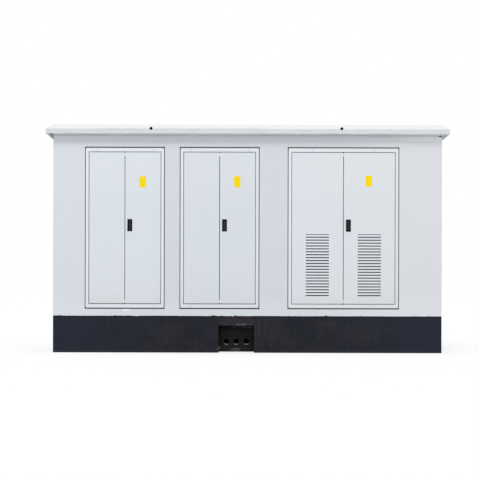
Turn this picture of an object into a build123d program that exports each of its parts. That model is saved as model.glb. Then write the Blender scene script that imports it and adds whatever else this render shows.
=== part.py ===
from build123d import *
import os

# Compact substation: a precast concrete housing on a dark foundation basin, with a bevelled roof
# slab, three double doors in metal frames and a cable niche at the foot of the front. The louvre
# panels of the wide door take the most work: bent blades that shed rain, in a thin surround.
# Millimetres. X runs along the front, the doors face -Y, Z is up. The origin is on the ground,
# in the middle of the plan.

# Front elevation, from left to right
left_pier = 398.0
narrow_opening = 995.0
first_pier = 186.0
second_pier = 352.0
wide_opening = 1390.0
right_pier = 534.0

# Housing
housing_depth = 2400.0
wall_thickness = 100.0
floor_thickness = 90.0
opening_height = 2020.0
lintel_height = 135.0
corner_radius = 10.0

# Foundation basin
basin_height = 455.0
basin_wall = 120.0
base_thickness = 85.0

# Cable niche in the front of the basin
niche_from_left = 2064.0
niche_width = 445.0
niche_height = 340.0
niche_depth = 200.0
niche_wall = 40.0
duct_count = 3
duct_spacing = 129.0
duct_height = 131.0
duct_radius = 37.5
duct_wall = 3.0
duct_proud = 15.0
duct_tail = 60.0
duct_bell = 7.0
duct_bell_depth = 15.0

# Roof
seal_thickness = 10.0
seal_width = 55.0
seal_setback = 4.0
roof_overhang = 75.0
fascia_height = 62.0
roof_bevel = 70.0
roof_fall = 25.0
ridge_width = 60.0
drip_setback = 28.0
drip_width = 14.0
drip_depth = 9.0
roof_edge_chamfer = 5.0
roof_recess = 45.0
roof_recess_setback = 25.0
lifting_spacing = 2360.0
lifting_shift = -16.0
lifting_rise = 68.0
lifting_bore_radius = 12.5
lifting_wall = 6.0
lifting_length = 160.0

# Door frames
frame_depth = 60.0
side_groove = 10.0
end_groove = 14.0
groove_depth = 30.0
jamb_face = 35.0
head_face = 45.0
stop_width = 20.0
end_stop_width = 50.0
stop_thickness = 12.0
frame_edge_chamfer = 2.0
frame_corner_radius = 12.0

# Door leaves
leaf_thickness = 40.0
leaf_skin = 3.0
leaf_gap = 6.0
leaf_end_gap = 9.0
seam_gap = 8.0
leaf_edge_tube = 25.0
leaf_rail = 40.0
leaf_edge_radius = 2.0
pivot_inset = 10.0
pivot_radius = 4.5
pivot_block = 30.0
pivot_depth = 25.0
pivot_clearance = 0.5

# Handles
handle_from_seam = 62.0
handle_height = 1588.0
dish_width = 60.0
dish_height = 150.0
dish_rim = 5.0
dish_proud = 3.0
dish_depth = 25.0
dish_wall = 4.0
dish_floor = 4.0
lever_width = 30.0
lever_length = 118.0
lever_thickness = 12.0
lever_pivot_radius = 3.0
lever_bore_clearance = 0.3
lock_case_width = 40.0
lock_case_height = 120.0
lock_case_depth = 12.0
lock_rod_width = 16.0
lock_rod_thickness = 6.0

# Louvres
blade_pitch = 36.4
blade_lip = 20.0
blade_rise = 22.0
blade_run = 28.0
blade_thickness = 3.0
lowest_slit = 13.0
highest_slit = 11.0
door_blades = 21
door_louvre_width = 290.0
door_louvre_bottom = 709.0
louvre_rail = 12.0
louvre_depth = 36.0
louvre_setback = 2.0
ring_tube = 20.0
vent_blades = 10
vent_width = 700.0
vent_below_lintel = 20.0

seat_clearance = 0.3

# Places worked out from the sizes above
wall_length = (
    left_pier + narrow_opening + first_pier + narrow_opening + second_pier + wide_opening + right_pier
)
half_length = wall_length / 2
half_depth = housing_depth / 2
front_y = -half_depth
floor_top = basin_height + floor_thickness
opening_top = floor_top + opening_height
wall_top = opening_top + lintel_height
roof_underside = wall_top + seal_thickness
roof_half_length = half_length + roof_overhang
roof_half_depth = half_depth + roof_overhang
bevel_bottom = roof_underside + fascia_height
bevel_top = bevel_bottom + roof_bevel
niche_left = -half_length + niche_from_left
niche_centre = niche_left + niche_width / 2
niche_back_y = front_y + niche_depth

first_opening_left = -half_length + left_pier
second_opening_left = first_opening_left + narrow_opening + first_pier
third_opening_left = second_opening_left + narrow_opening + second_pier
doorways = {
    "door_1": (first_opening_left, narrow_opening),
    "door_2": (second_opening_left, narrow_opening),
    "door_3": (third_opening_left, wide_opening),
}
louvred_doors = ("door_3",)

leaf_bottom = floor_top + end_groove + head_face + leaf_end_gap
leaf_top = opening_top - end_groove - head_face - leaf_end_gap
pivot_y = front_y + pivot_inset

nodes = {}


def block(x_range, y_range, z_range):
    """A box between two corners, given as its low and high value along each axis."""
    (x0, x1), (y0, y1), (z0, z1) = x_range, y_range, z_range
    return Pos((x0 + x1) / 2, (y0 + y1) / 2, (z0 + z1) / 2) * Box(x1 - x0, y1 - y0, z1 - z0)


def tube_along_y(x, z, y_start, y_end, outer_radius, inner_radius):
    """A round pipe that lies along Y."""
    centre = Pos(x, (y_start + y_end) / 2, z) * Rot(90, 0, 0)
    length = y_end - y_start
    return centre * (Cylinder(outer_radius, length) - Cylinder(inner_radius, length))


def cable_duct():
    """A duct along Y with a bell mouth at -Y. The wall it passes through starts at 0."""
    mouth = -duct_proud
    tail = niche_wall + duct_tail
    bore = duct_radius - duct_wall
    corners = [
        (bore, mouth + duct_bell_depth),
        (bore, tail),
        (duct_radius, tail),
        (duct_radius, 0),
        (duct_radius + duct_bell, mouth),
        (bore + duct_bell, mouth),
    ]
    section = make_face(Polyline(*corners, close=True))
    return revolve(section, Axis.Y)


def round_uprights(solid, corners, radius):
    """Rounds the upright edges of a solid that stand at the given corners of the plan."""
    chosen = [
        edge
        for edge in solid.edges().filter_by(Axis.Z)
        if any(abs(edge.center().X - x) < 0.01 and abs(edge.center().Y - y) < 0.01 for x, y in corners)
    ]
    return fillet(chosen, radius) if chosen else solid


def concrete_block(x_range, y_range, z_range):
    """A piece of the housing or basin, with the housing's outer corners rounded."""
    corners = [(x, y) for x in (-half_length, half_length) for y in (-half_depth, half_depth)]
    return round_uprights(block(x_range, y_range, z_range), corners, corner_radius)


def louvre_height(blades):
    """The height of a stack of blades, with a slit under each. The last one's slope ends in the surround."""
    return lowest_slit + (blades - 1) * blade_pitch + blade_lip + highest_slit


def blade_section(left, face_y, inward, lip):
    """The outline of one blade: an upright lip in front, and a slope that rises inwards."""
    front = face_y + inward * louvre_setback
    back = front + inward * blade_run
    lip_back = front + inward * blade_thickness
    bend = lip + blade_lip
    corners = [
        (front, lip),
        (front, bend),
        (back, bend + blade_rise),
        (back, bend + blade_rise - blade_thickness),
        (lip_back, bend - blade_thickness / 2),
        (lip_back, lip),
    ]
    return make_face(Polyline(*[(left, y, z) for y, z in corners], close=True))


def louvre_panel(left, width, bottom, blades, face_y, inward):
    """A rectangle of bent blades in a thin surround. Each blade sheds rain to the outside."""
    top = bottom + louvre_height(blades)
    depth_range = sorted((face_y, face_y + inward * louvre_depth))
    outer_x = (left - louvre_rail, left + width + louvre_rail)
    outer = block(outer_x, depth_range, (bottom - louvre_rail, top + louvre_rail))
    hole = block((left, left + width), depth_range, (bottom, top))
    seat = blade_thickness / 2
    sections = []
    for index in range(blades):
        lip = bottom + lowest_slit + index * blade_pitch
        section = blade_section(left - seat, face_y, inward, lip)
        sections.append(extrude(section, amount=width + 2 * seat, dir=(1, 0, 0)))
    return (outer - hole) + sections


def make_basin():
    """The foundation basin: four walls, a base, and the niche box with the cable ducts."""
    full_x = (-half_length, half_length)
    full_z = (0, basin_height)
    inner_x = half_length - basin_wall
    inner_y = half_depth - basin_wall
    niche_x = (niche_left, niche_left + niche_width)
    front = concrete_block(full_x, (-half_depth, -inner_y), full_z)
    nodes["basin_front"] = front - block(niche_x, (-half_depth, -inner_y), (0, niche_height))
    nodes["basin_back"] = concrete_block(full_x, (inner_y, half_depth), full_z)
    nodes["basin_left"] = block((-half_length, -inner_x), (-inner_y, inner_y), full_z)
    nodes["basin_right"] = block((inner_x, half_length), (-inner_y, inner_y), full_z)

    niche_outer = block(
        (niche_x[0] - niche_wall, niche_x[1] + niche_wall), (-inner_y, niche_back_y + niche_wall),
        (0, niche_height + niche_wall),
    )
    base = block((-inner_x, inner_x), (-inner_y, inner_y), (0, base_thickness))
    nodes["base_slab"] = base - niche_outer
    niche_box = niche_outer - block(niche_x, (-inner_y, niche_back_y), (0, niche_height))
    duct_hole = Rot(90, 0, 0) * Cylinder(duct_radius + seat_clearance, 4 * niche_wall)
    ducts = []
    for index in range(duct_count):
        x = niche_centre + (index - (duct_count - 1) / 2) * duct_spacing
        niche_box -= Pos(x, niche_back_y, duct_height) * duct_hole
        ducts.append(Pos(x, niche_back_y, duct_height) * cable_duct())
    nodes["cable_niche_box"] = niche_box
    nodes["cable_ducts"] = Compound(children=ducts)


def make_housing():
    """The concrete housing above the basin: floor, piers, lintel, side walls and back wall."""
    inner_x = half_length - wall_thickness
    inner_y = half_depth - wall_thickness
    front = (-half_depth, -inner_y)
    full_x = (-half_length, half_length)
    side_z = (basin_height, wall_top)
    pier_z = (floor_top, opening_top)
    nodes["floor_slab"] = block((-inner_x, inner_x), (-inner_y, inner_y), (basin_height, floor_top))
    nodes["front_sill"] = concrete_block(full_x, front, (basin_height, floor_top))
    nodes["front_lintel"] = concrete_block(full_x, front, (opening_top, wall_top))
    edges = [-half_length]
    for left, width in doorways.values():
        edges += [left, left + width]
    edges.append(half_length)
    for index in range(len(edges) // 2):
        pier = concrete_block((edges[2 * index], edges[2 * index + 1]), front, pier_z)
        nodes[f"front_pier_{index + 1}"] = pier
    nodes["left_wall"] = block((-half_length, -inner_x), (-inner_y, inner_y), side_z)
    nodes["right_wall"] = block((inner_x, half_length), (-inner_y, inner_y), side_z)

    # The warm air of the louvred compartment leaves through a vent high in the back wall.
    compartment_left, compartment_width = doorways["door_3"]
    vent_left = compartment_left + (compartment_width - vent_width) / 2
    vent_top = opening_top - vent_below_lintel - louvre_rail
    vent_bottom = vent_top - louvre_height(vent_blades)
    back_wall = concrete_block(full_x, (inner_y, half_depth), side_z)
    vent_x = (vent_left - louvre_rail, vent_left + vent_width + louvre_rail)
    vent_z = (vent_bottom - louvre_rail, vent_top + louvre_rail)
    nodes["back_wall"] = back_wall - block(vent_x, (inner_y, half_depth), vent_z)
    nodes["rear_vent"] = louvre_panel(vent_left, vent_width, vent_bottom, vent_blades, half_depth, -1)


def rectangle_at(half_x, half_y, z):
    """A horizontal rectangle about the middle of the plan."""
    return Pos(0, 0, z) * Rectangle(2 * half_x, 2 * half_y)


def roof_profile(half_width):
    """The slab's outline across one direction, as pairs of distance from the middle and height."""
    crown_foot = half_width - roof_bevel
    crown_run = roof_half_depth - roof_bevel - ridge_width / 2
    right = [
        (half_width - roof_edge_chamfer, roof_underside),
        (half_width, roof_underside + roof_edge_chamfer),
        (half_width, bevel_bottom),
        (crown_foot, bevel_top),
        (crown_foot - crown_run, bevel_top + roof_fall),
    ]
    return right + [(-distance, z) for distance, z in reversed(right)]


def make_roof():
    """The roof slab with its bevelled edge, slight fall, drip groove, recess and lifting sleeves."""
    across = make_face(
        Polyline(*[(-roof_half_length, y, z) for y, z in roof_profile(roof_half_depth)], close=True)
    )
    along = make_face(
        Polyline(*[(x, -roof_half_depth, z) for x, z in roof_profile(roof_half_length)], close=True)
    )
    slab = extrude(across, amount=2 * roof_half_length, dir=(1, 0, 0))
    slab &= extrude(along, amount=2 * roof_half_depth, dir=(0, 1, 0))
    groove_outer = rectangle_at(
        roof_half_length - drip_setback, roof_half_depth - drip_setback, roof_underside
    )
    groove_inner = rectangle_at(
        roof_half_length - drip_setback - drip_width, roof_half_depth - drip_setback - drip_width,
        roof_underside,
    )
    slab -= extrude(groove_outer - groove_inner, drip_depth)
    recess_inset = wall_thickness + roof_recess_setback
    recess = rectangle_at(half_length - recess_inset, half_depth - recess_inset, roof_underside)
    slab -= extrude(recess, roof_recess)

    sleeve_outer = lifting_bore_radius + lifting_wall
    sleeves = []
    for x in (lifting_shift - lifting_spacing / 2, lifting_shift + lifting_spacing / 2):
        for side in (-1, 1):
            mouth = side * roof_half_depth
            inner_end = side * (roof_half_depth - lifting_length)
            y_start, y_end = min(mouth, inner_end), max(mouth, inner_end)
            z = roof_underside + lifting_rise
            seat = Pos(x, (y_start + y_end) / 2, z) * Rot(90, 0, 0)
            slab -= seat * Cylinder(sleeve_outer + seat_clearance, lifting_length)
            sleeves.append(tube_along_y(x, z, y_start, y_end, sleeve_outer, lifting_bore_radius))
    nodes["roof_slab"] = slab
    nodes["lifting_sleeves"] = Compound(children=sleeves)

    # The seal is laid as four strips: two long ones, and two short ones that butt between them.
    seal_x, seal_y = half_length - seal_setback, half_depth - seal_setback
    seal_z = (wall_top, roof_underside)
    between = seal_y - seal_width - seat_clearance
    strips = []
    for side in (-1, 1):
        long_y = sorted((side * seal_y, side * (seal_y - seal_width)))
        short_x = sorted((side * seal_x, side * (seal_x - seal_width)))
        strips.append(block((-seal_x, seal_x), long_y, seal_z))
        strips.append(block(short_x, (-between, between), seal_z))
    nodes["roof_seal"] = Compound(children=strips)


def make_frame(name, left, width):
    """A door frame: face bars, a back flange against the concrete, a stop and the pivot pins."""
    right = left + width
    bottom, top = floor_top, opening_top
    back_y = front_y + frame_depth
    clear_left = left + side_groove + jamb_face
    clear_right = right - side_groove - jamb_face
    clear_bottom = bottom + end_groove + head_face
    clear_top = top - end_groove - head_face

    bars = block(
        (left + side_groove, right - side_groove), (front_y, back_y), (bottom + end_groove, top - end_groove)
    )
    bars = fillet(bars.edges().filter_by(Axis.Y), frame_corner_radius)
    flange = block((left, right), (front_y + groove_depth, back_y), (bottom, top))
    clear = block((clear_left, clear_right), (front_y, back_y), (clear_bottom, clear_top))
    frame = bars + flange - clear
    rims = [
        edge
        for edge in frame.edges()
        if abs(edge.center().Y - front_y) < 0.01
        and clear_left - 0.01 < edge.center().X < clear_right + 0.01
        and clear_bottom - 0.01 < edge.center().Z < clear_top + 0.01
    ]
    frame = chamfer(rims, frame_edge_chamfer)
    stop = block((clear_left, clear_right), (back_y - stop_thickness, back_y), (clear_bottom, clear_top))
    stop -= block(
        (clear_left + stop_width, clear_right - stop_width),
        (back_y - stop_thickness, back_y),
        (clear_bottom + end_stop_width, clear_top - end_stop_width),
    )
    frame += stop
    pin_length = leaf_end_gap + pivot_depth - pivot_clearance
    pin_root = 1.0
    for x in (clear_left + leaf_gap + pivot_inset, clear_right - leaf_gap - pivot_inset):
        for z in (clear_bottom + (pin_length - pin_root) / 2, clear_top - (pin_length - pin_root) / 2):
            frame += Pos(x, pivot_y, z) * Cylinder(pivot_radius, pin_length + pin_root)
    nodes[f"{name}_frame"] = frame
    return clear_left, clear_right


def leaf_pockets(inner_x, leaf_z, window):
    """The hollows in the back of a leaf, between its edge tubes and rails."""
    low, high = leaf_z
    rail_centres = [low + (high - low) / 3, low + 2 * (high - low) / 3]
    if window:
        rail_centres = rail_centres[1:]
    levels = [low + leaf_edge_tube]
    for centre in rail_centres:
        levels += [centre - leaf_rail / 2, centre + leaf_rail / 2]
    levels.append(high - leaf_edge_tube)
    back = (front_y + leaf_skin, front_y + leaf_thickness)
    pockets = [block(inner_x, back, (levels[2 * i], levels[2 * i + 1])) for i in range(len(levels) // 2)]
    if not window:
        return pockets
    (x0, x1), (z0, z1) = window
    surround = block((x0 - ring_tube, x1 + ring_tube), back, (z0 - ring_tube, z1 + ring_tube))
    return [pocket - surround for pocket in pockets]


def make_leaf(name, side, hinge_x, free_x, louvred):
    """One door leaf. hinge_x and free_x are its outer and its seam edge."""
    low_x, high_x = min(hinge_x, free_x), max(hinge_x, free_x)
    inward = 1 if free_x > hinge_x else -1
    leaf_z = (leaf_bottom, leaf_top)
    face = (front_y, front_y + leaf_thickness)
    leaf = block((low_x, high_x), face, leaf_z)
    nose = [e for e in leaf.edges().filter_by(Axis.Z)
            if abs(e.center().X - hinge_x) < 0.01 and abs(e.center().Y - front_y) < 0.01]
    leaf = fillet(nose, pivot_inset)
    free_edge = [e for e in leaf.edges().filter_by(Axis.Z)
                 if abs(e.center().X - free_x) < 0.01 and abs(e.center().Y - front_y) < 0.01]
    leaf = fillet(free_edge, leaf_edge_radius)

    window = None
    if louvred:
        louvre_left = (low_x + high_x - door_louvre_width) / 2
        louvre_top = door_louvre_bottom + louvre_height(door_blades)
        window = (
            (louvre_left - louvre_rail, louvre_left + door_louvre_width + louvre_rail),
            (door_louvre_bottom - louvre_rail, louvre_top + louvre_rail),
        )
        nodes[f"{name}_{side}_louvre"] = louvre_panel(
            louvre_left, door_louvre_width, door_louvre_bottom, door_blades, front_y, 1
        )
    inner_x = sorted((hinge_x + inward * pivot_block, free_x - inward * leaf_edge_tube))
    leaf -= leaf_pockets(inner_x, leaf_z, window)
    if window:
        leaf -= block(window[0], face, window[1])
    # The pins of the frame turn in square sockets, the open ends of the hinge edge's tube.
    socket_width = 2 * (pivot_radius + pivot_clearance)
    for z in (leaf_bottom + pivot_depth / 2, leaf_top - pivot_depth / 2):
        socket = Box(socket_width, socket_width, pivot_depth)
        leaf -= Pos(hinge_x + inward * pivot_inset, pivot_y, z) * socket
    return leaf


def make_handle(name, centre_x):
    """A flush handle: a dish let into the leaf, and a lever that tips out about a pin at its top."""
    half_width, half_height = dish_width / 2, dish_height / 2
    body_half_width, body_half_height = half_width - dish_rim, half_height - dish_rim
    body_x = (centre_x - body_half_width, centre_x + body_half_width)
    body_z = (handle_height - body_half_height, handle_height + body_half_height)
    rim = block(
        (centre_x - half_width, centre_x + half_width), (front_y - dish_proud, front_y),
        (handle_height - half_height, handle_height + half_height),
    )
    rim = fillet(rim.edges().filter_by(Axis.Y), dish_rim)
    body = block(body_x, (front_y, front_y + dish_depth), body_z)
    cavity = block(
        (body_x[0] + dish_wall, body_x[1] - dish_wall),
        (front_y - dish_proud, front_y + dish_depth - dish_floor),
        (body_z[0] + dish_wall, body_z[1] - dish_wall),
    )
    lever_x = (centre_x - lever_width / 2, centre_x + lever_width / 2)
    lever_y = (front_y - dish_proud, front_y - dish_proud + lever_thickness)
    lever_z = (handle_height - lever_length / 2, handle_height + lever_length / 2)
    pin_y = lever_y[0] + lever_thickness / 2
    pin_z = lever_z[1] - lever_thickness / 2
    pin_axis = Pos(centre_x, pin_y, pin_z) * Rot(0, 90, 0)
    pin = pin_axis * Cylinder(lever_pivot_radius, 2 * body_half_width - dish_wall)
    nodes[f"{name}_handle_dish"] = rim + body - cavity + pin

    lever = block(lever_x, lever_y, lever_z)
    lever = fillet(
        [e for e in lever.edges().filter_by(Axis.X) if e.center().Z > handle_height],
        lever_thickness / 2 - seat_clearance,
    )
    lever = fillet(
        [e for e in lever.edges().filter_by(Axis.X) if e.center().Z < lever_z[0] + 1],
        lever_thickness / 4,
    )
    lever -= pin_axis * Cylinder(lever_pivot_radius + lever_bore_clearance, lever_width + dish_wall)
    nodes[f"{name}_handle_lever"] = lever
    return block(body_x, (front_y, front_y + dish_depth), body_z)


def make_lock(name, centre_x):
    """The lock behind the handle: a case, and flat rods that run to the leaf's top and bottom."""
    case_y = (front_y + dish_depth, front_y + dish_depth + lock_case_depth)
    case_z = (handle_height - lock_case_height / 2, handle_height + lock_case_height / 2)
    case = block((centre_x - lock_case_width / 2, centre_x + lock_case_width / 2), case_y, case_z)
    case_centre_y = (case_y[0] + case_y[1]) / 2
    rod_centre = Pos(centre_x, case_centre_y, (leaf_bottom + leaf_top) / 2)
    rod = rod_centre * Box(lock_rod_width, lock_rod_thickness, leaf_top - leaf_bottom)
    slot = rod_centre * Box(
        lock_rod_width + 2 * seat_clearance, lock_rod_thickness + 2 * seat_clearance, leaf_top - leaf_bottom
    )
    nodes[f"{name}_lock"] = case + rod
    return case + slot


def make_doors():
    """Each doorway gets a frame, two leaves, and a handle and lock on the right leaf."""
    for name, (left, width) in doorways.items():
        clear_left, clear_right = make_frame(name, left, width)
        seam = (clear_left + clear_right) / 2
        louvred = name in louvred_doors
        nodes[f"{name}_left_leaf"] = make_leaf(
            name, "left", clear_left + leaf_gap, seam - seam_gap / 2, louvred
        )
        right_leaf = make_leaf(name, "right", clear_right - leaf_gap, seam + seam_gap / 2, louvred)
        handle_x = seam + handle_from_seam
        nodes[f"{name}_right_leaf"] = right_leaf - make_handle(name, handle_x) - make_lock(name, handle_x)


make_basin()
make_housing()
make_roof()
make_doors()

os.makedirs("parts", exist_ok=True)
for name, shape in nodes.items():
    export_step(shape, f"parts/{name}.step")
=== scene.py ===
"""A compact substation: its finishes, its small fixings and a plain studio."""

import math

import bmesh
import bpy
from bpy.props import FloatProperty, FloatVectorProperty, IntProperty, PointerProperty
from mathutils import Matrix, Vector


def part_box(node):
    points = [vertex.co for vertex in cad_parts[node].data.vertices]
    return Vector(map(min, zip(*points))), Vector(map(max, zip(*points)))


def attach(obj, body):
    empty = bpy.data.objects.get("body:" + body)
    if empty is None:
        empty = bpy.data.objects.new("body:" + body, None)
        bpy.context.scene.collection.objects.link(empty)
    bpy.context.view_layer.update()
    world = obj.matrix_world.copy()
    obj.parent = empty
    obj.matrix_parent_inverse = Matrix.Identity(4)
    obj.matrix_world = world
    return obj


bl_info = {
    "name": "Compact substation finishes",
    "version": (1, 0, 0),
    "blender": (4, 5, 0),
    "location": "3D View > Sidebar > Substation",
    "description": "Paints the packed substation, adds its fixings and sets it in a studio",
    "category": "Object",
}

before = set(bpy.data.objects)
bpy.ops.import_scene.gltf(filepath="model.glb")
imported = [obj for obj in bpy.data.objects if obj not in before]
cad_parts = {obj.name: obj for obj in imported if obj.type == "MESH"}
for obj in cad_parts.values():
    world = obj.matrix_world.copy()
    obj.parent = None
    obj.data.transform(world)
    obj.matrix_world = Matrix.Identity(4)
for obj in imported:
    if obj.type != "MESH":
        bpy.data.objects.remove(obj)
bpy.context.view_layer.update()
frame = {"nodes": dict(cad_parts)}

# The view: the picture's width in pixels, the focal length as a share of it, and the shift in pixels.
IMAGE_WIDTH = 478
FOCAL_SHARE = 1.51
SHIFT_RIGHT, SHIFT_UP = -8.3, 62.25
SENSOR_WIDTH = 36.0

WHITE = (1.0, 1.0, 1.0)

DOORS = ("door_1", "door_2", "door_3")

# A frame wider than this takes the wide spacing of its screws.
WIDE_FRAME = 1.2
# Each plate was put up by hand: how far it hangs right of and above its place, in metres.
PLATE_SLIPS = {"door_1": (-0.003, -0.007), "door_2": (-0.006, -0.003), "door_3": (-0.008, 0.009)}
# How far the rivets stand in from a plate's edges, and how high they are.
RIVET_INSET, RIVET_HEIGHT = 0.011, 0.0011
# A seam cap's softened edge, and how far its face and its back lie behind the wall's face.
CAP_EDGE, CAP_FACE, CAP_BACK = 0.0012, 0.0022, 0.007
# Zinc's crystal flakes in a metre.
FLAKES_A_METRE = 140.0
# Where a dab of pale paint lies below the first door.
DAB_X, DAB_Z = -1.514, 0.531

SLOT_NODES = {}
for part in frame["nodes"].values():
    SLOT_NODES.setdefault(part.data.materials[0].name, []).append(part)

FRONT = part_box("front_sill")[0].y
PLINTH_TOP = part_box("front_sill")[0].z
WALL_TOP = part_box("front_lintel")[1].z
WALL_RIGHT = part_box("right_wall")[1].x
ROOF_LOW, ROOF_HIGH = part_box("roof_slab")
SLEEVE_LOW, SLEEVE_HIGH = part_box("lifting_sleeves")
SLEEVE_RADIUS = (SLEEVE_HIGH.z - SLEEVE_LOW.z) / 2
NICHE_LOW, NICHE_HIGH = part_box("cable_niche_box")
# Two sizes that no box gives: the fascia's height below the bevel, and the niche box's thickness.
FASCIA_HEIGHT, NICHE_WALL = 0.062, 0.04
NICHE_MIDDLE = (NICHE_LOW.x + NICHE_HIGH.x) / 2
NICHE_LEFT, NICHE_TOP = NICHE_LOW.x + NICHE_WALL, NICHE_HIGH.z - NICHE_WALL
FRAMES = [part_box(f"{door}_frame") for door in DOORS]
LEAVES = [(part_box(f"{door}_left_leaf")[0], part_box(f"{door}_right_leaf")[1]) for door in DOORS]
SEAMS = [(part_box(f"{door}_left_leaf")[1].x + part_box(f"{door}_right_leaf")[0].x) / 2 for door in DOORS]
HANDLES = [(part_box(f"{door}_handle_dish")[0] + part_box(f"{door}_handle_dish")[1]) / 2 for door in DOORS]


def chip(red, green, blue):
    """A paint chip's 0 to 255 values as the linear colour that a shader takes."""
    shares = (value / 255 for value in (red, green, blue))
    return tuple(s / 12.92 if s <= 0.04045 else ((s + 0.055) / 1.055) ** 2.4 for s in shares)


SETTLED_DUST = chip(150, 150, 146)


def swatch(name, description, *levels):
    """A colour in the sidebar, from a paint chip's levels."""
    return FloatVectorProperty(
        name=name, description=description, default=chip(*levels), subtype="COLOR", size=3, min=0.0, max=1.0
    )


def length(name, description, default, low=0.0, high=10.0):
    """A length in metres, shown in the scene's own unit."""
    return FloatProperty(
        name=name, description=description, default=default, unit="LENGTH", min=low, max=high, precision=4
    )


def angle(name, description, degrees, low, high):
    """An angle given in degrees, with its limits in radians."""
    return FloatProperty(
        name=name, description=description, default=math.radians(degrees),
        min=low, max=high, subtype="ANGLE",
    )


def amount(name, description, default, high, subtype="NONE"):
    """A strength or a share, from nothing up."""
    return FloatProperty(
        name=name, description=description, default=default, min=0.0, max=high, subtype=subtype
    )


class WallSettings(bpy.types.PropertyGroup):
    paint: swatch("Paint", "Colour of the painted walls", 217, 222, 228)
    warm_paint: swatch("Warm paint", "Colour of the walls' other batch of paint", 219, 221, 226)
    # This colour also paints the shade under the roof's overhang.
    grime_and_shade: swatch("Grime", "Dust and rain marks that settle on the walls", 150, 150, 146)
    grain_depth: length("Grain depth", "Height of the sand grain in the paint", 0.0007, high=0.01)
    wave_depth: length("Trowel wave", "Height of the slow waves left by the trowel", 0.0012, high=0.02)
    pit_size: length("Pit size", "Radius of the air pits in the concrete", 0.0022, high=0.02)
    edge_rise: length("Edge rise", "How far the dark coat runs up the wall's foot", 0.005, high=0.05)
    edge_sway: length("Edge sway", "How far the dark coat's upper line wanders", 0.004, high=0.05)


class PlinthSettings(bpy.types.PropertyGroup):
    paint: swatch("Paint", "Colour of the dark protective coat", 30, 33, 42)
    faded: swatch("Faded coat", "Colour where the coat has worn thin", 40, 40, 46)
    dust: swatch("Dust", "Pale dust and scuffs on the dark coat", 138, 136, 134)
    bare: swatch("Bare concrete", "Concrete that shows in chips", 150, 148, 143)
    niche: swatch("Niche", "Colour inside the cable niche", 39, 37, 40)


class RoofSettings(bpy.types.PropertyGroup):
    paint: swatch("Paint", "Colour of the painted roof slab", 214, 218, 222)
    washed: swatch("Washed paint", "Paint that rain has bleached on the slopes and top", 223, 221, 220)
    stain: swatch("Stain", "Lichen and dust on the top of the slab", 158, 160, 154)


class DoorSettings(bpy.types.PropertyGroup):
    leaf: swatch("Leaf coat", "Powder coat of the door leaves", 221, 227, 232)
    frame: swatch("Frame coat", "Powder coat of the door frames", 230, 235, 240)
    vent: swatch("Louvre coat", "Powder coat of the louvres", 227, 233, 239)
    aged: swatch("Aged coat", "Powder coat that has yellowed a little", 224, 226, 230)
    # This tint makes the doors darker and bluer towards the bottom.
    low_tint: swatch("Haze", "Blue-grey film on the lower two thirds of the doors", 160, 172, 192)
    dust: swatch("Dust", "Dust along the lower part of the doors", 172, 170, 162)
    # This colour paints the shade in the louvres, in the frames and under the leaves, from the depth below.
    grime_and_shade: swatch("Grime", "Dirt on the louvres' slopes and under the leaves", 42, 46, 53)
    recess_shade_depth: length("Grime depth", "From the wall's face to the dirt in recesses", 0.0045, high=0.05)
    peel_depth: length("Orange peel", "Height of the fine waves in the coat", 0.00004, high=0.001)
    sheet_wave: length("Sheet wave", "Height of the slow waves in the sheet", 0.0005, high=0.01)


class FittingSettings(bpy.types.PropertyGroup):
    # Dish and lever are one black plastic: the lever's lighter colour is a painted highlight.
    dish: swatch("Dish", "Grained plastic round the flush handles", 2, 5, 13)
    lever: swatch("Lever", "Worn plastic of the handles' levers", 19, 30, 43)
    duct: swatch("Duct", "Plastic of the cable ducts", 56, 54, 60)
    steel: swatch("Steel", "Galvanised steel of the locks", 150, 153, 156)
    sleeve: swatch("Sleeve", "Weathered steel of the lifting sleeves", 62, 62, 63)
    seal: swatch("Seal", "Painted strip under the roof slab", 214, 218, 222)
    sealant: swatch("Sealant", "Grey sealant in the grooves round the door frames", 66, 69, 74)
    concrete: swatch("Bare concrete", "Unpainted slabs inside and below", 158, 156, 150)


class ScrewSettings(bpy.types.PropertyGroup):
    metal: swatch("Metal", "Zinc-plated steel of the screws", 178, 182, 187)
    head_width: length("Head width", "Diameter of a screw head", 0.0115, 0.002, 0.05)
    head_height: length("Head height", "Height of a screw head", 0.0028, 0.0005, 0.01)
    recess_width: length("Recess width", "Width of the cross in the head", 0.0066, 0.001, 0.03)
    narrow_spacing: length("Narrow frame spacing", "Between the screws of a narrow frame", 0.710)
    wide_spacing: length("Wide frame spacing", "Between the screws of the wide frame", 0.764)
    bar_inset: length("Bar inset", "From the edge of the frame's opening to a screw", 0.0365)
    seed: IntProperty(name="Seed", description="Changes how far each screw is turned", default=7, min=0)


class PlateSettings(bpy.types.PropertyGroup):
    enamel: swatch("Enamel", "Yellow of the bare plates", 250, 219, 0)
    rivet: swatch("Rivet", "Aluminium of the plates' rivets", 190, 192, 194)
    width: length("Width", "Width of a plate", 0.078, 0.01, 1.0)
    height: length("Height", "Height of a plate", 0.137, 0.01, 1.0)
    thickness: length("Thickness", "Thickness of a plate", 0.0015, 0.0003, 0.01)
    corner: length("Corner radius", "Radius of a plate's corners", 0.005, 0.0, 0.05)
    centre_height: length("Height above ground", "From the ground to a plate's middle", 2.135)
    rivet_width: length("Rivet width", "Diameter of a rivet head", 0.0048, 0.001, 0.02)


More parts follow.
